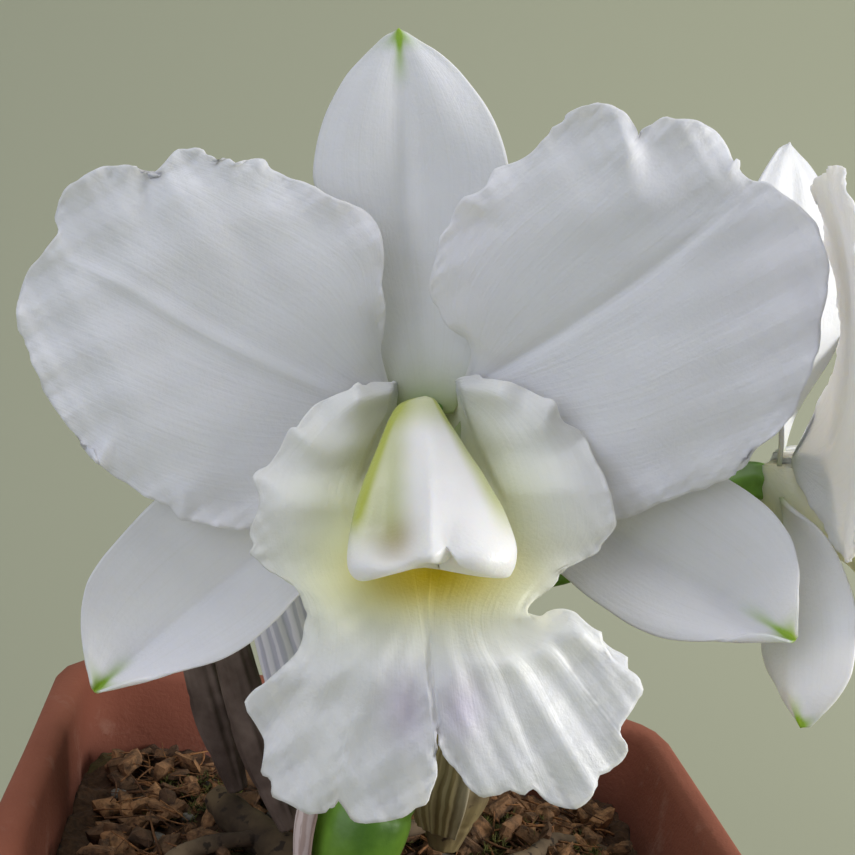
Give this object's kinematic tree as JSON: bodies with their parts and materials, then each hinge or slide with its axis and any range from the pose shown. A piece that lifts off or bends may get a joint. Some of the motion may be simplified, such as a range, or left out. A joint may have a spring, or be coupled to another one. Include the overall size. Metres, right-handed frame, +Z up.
{
  "type": "cattleya orchid",
  "caption": "White cattleya orchid with open flowers on a shared stem, green and brown pseudobulbs and leaves, growing in a square terracotta pot of bark mix.",
  "frame": {"origin": "centre of the pot's flat base", "axes": "+Z up, the main flower faces -Y and the second flower faces +X"},
  "size_m": [0.1527, 0.1292, 0.2314],
  "materials": {
    "clay": "matt fired terracotta",
    "mix": "rough bark, fern fibre and moss",
    "rhizome": "dull fibrous plant skin",
    "green_stem": "smooth living plant skin",
    "old_stem": "shrivelled dull plant skin",
    "sheath_silver": "dry ribbed silvery sheath",
    "sheath_pale": "dry papery sheath",
    "leaf": "leathery leaf with a soft gloss",
    "petal_white": "crystalline white petal",
    "lip_white": "veined white petal, yellow in the throat",
    "column_white": "waxy white"
  },
  "bodies": {
    "root": {"pot": "clay", "potting_mix": "mix", "rhizome": "rhizome", "pseudobulb_front": "green_stem", "pseudobulb_silver": "green_stem", "pseudobulb_back": "green_stem", "pseudobulb_old": "old_stem", "pseudobulb_brown_left": "old_stem", "pseudobulb_brown_near": "old_stem", "sheath_front": "sheath_pale", "sheath_silver": "sheath_silver", "sheath_old": "sheath_pale", "leaf_right": "leaf", "leaf_left": "leaf", "leaf_back": "leaf", "peduncle": "green_stem", "main_pedicel": "green_stem", "side_pedicel": "green_stem", "bract": "sheath_pale", "main_dorsal_sepal": "petal_white", "main_left_sepal": "petal_white", "main_right_sepal": "petal_white", "main_left_petal": "petal_white", "main_right_petal": "petal_white", "main_lip": "lip_white", "main_column": "column_white", "side_dorsal_sepal": "petal_white", "side_left_sepal": "petal_white", "side_right_sepal": "petal_white", "side_left_petal": "petal_white", "side_right_petal": "petal_white", "side_lip": "lip_white", "side_column": "column_white"}
  },
  "joints": []
}
